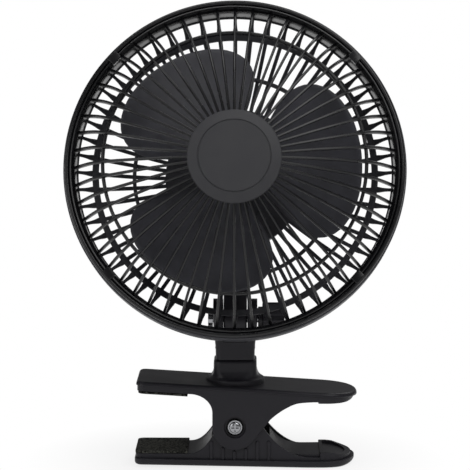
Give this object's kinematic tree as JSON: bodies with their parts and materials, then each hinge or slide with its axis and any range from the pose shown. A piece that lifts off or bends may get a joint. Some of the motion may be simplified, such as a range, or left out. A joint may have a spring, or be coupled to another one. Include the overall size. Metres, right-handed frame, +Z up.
{
  "type": "clip-on fan",
  "caption": "Small desk fan on a sprung clip: a round spoked grille on a tilting, swivelling neck above two jaws with squeeze handles.",
  "frame": {"origin": "on the ground, at the underside of the lower jaw, straight below the clip's pivot and the neck's swivel axis", "axes": "+X from the jaw tips towards the squeeze handles, -Y the way the fan blows, +Z up"},
  "size_m": [0.186, 0.1338, 0.2581],
  "materials": {
    "jaw_abs": "black ABS, satin, moulded",
    "grille_abs": "black ABS, satin, moulded",
    "blade_plastic": "smooth dark grey plastic",
    "cap_plastic": "fine matt dark grey",
    "foam": "closed-cell foam rubber",
    "rubber": "matt rubber",
    "nylon": "natural nylon",
    "steel": "zinc plated",
    "spring_steel": "oiled spring wire",
    "laminations": "stacked sheet steel",
    "copper": "enamelled winding wire",
    "bronze": "sintered bronze"
  },
  "bodies": {
    "clip_base": {"lower_jaw": "jaw_abs", "lower_pad": "foam", "pivot_screw": "steel", "pivot_nut": "steel", "pivot_spacer": "nylon", "clip_spring": "spring_steel"},
    "clip_lever": {"upper_jaw": "jaw_abs", "upper_pad": "foam"},
    "neck": {"neck_column": "jaw_abs", "swivel_washer": "steel", "swivel_screw": "steel", "tilt_bolt": "steel"},
    "tilt_clamp": {"tilt_knob": "jaw_abs"},
    "head": {"front_grille": "grille_abs", "hub_cap": "cap_plastic", "rear_grille": "grille_abs", "motor_cover": "jaw_abs", "motor_bracket": "steel", "stator_core": "laminations", "stator_coil_1": "copper", "stator_coil_2": "copper", "stator_coil_3": "copper", "stator_coil_4": "copper", "stator_screw_1": "steel", "stator_screw_2": "steel", "cover_screw_1": "steel", "cover_screw_2": "steel", "cover_screw_3": "steel", "front_bearing": "bronze", "rear_bearing": "bronze", "switch_body": "nylon", "cord_bushing": "rubber"},
    "speed_dial": {"speed_knob": "jaw_abs"},
    "impeller": {"motor_shaft": "steel", "rotor_core": "laminations", "fan_blades": "blade_plastic"}
  },
  "joints": [
    {"name": "clip_hinge", "type": "hinge", "parent": "clip_base", "child": "clip_lever", "pos_m": [0, 0, 0.023], "axis": [0, 1, 0], "range_deg": [0, 22], "stiffness_Nm_per_rad": 0.6, "springref_deg": -60.16, "deforming": ["clip_spring"]},
    {"name": "neck_swivel", "type": "hinge", "parent": "clip_lever", "child": "neck", "pos_m": [0, 0, 0.0586], "axis": [0, 0, 1], "range_deg": [-90, 90]},
    {"name": "head_tilt", "type": "hinge", "parent": "neck", "child": "head", "pos_m": [0, 0, 0.0811], "axis": [-1, 0, 0], "range_deg": [-30, 35]},
    {"name": "tilt_knob_turn", "type": "hinge", "parent": "neck", "child": "tilt_clamp", "pos_m": [0, 0, 0.0811], "axis": [1, 0, 0], "range_deg": [0, 270]},
    {"name": "speed_knob_turn", "type": "hinge", "parent": "head", "child": "speed_dial", "pos_m": [0, 0.04974, 0.12765], "axis": [0, 0.9703, -0.2419], "range_deg": [0, 90]},
    {"name": "impeller_spin", "type": "hinge", "parent": "head", "child": "impeller", "pos_m": [0, -0.02705, 0.16689], "axis": [0, -0.9703, 0.2419], "continuous": true}
  ]
}
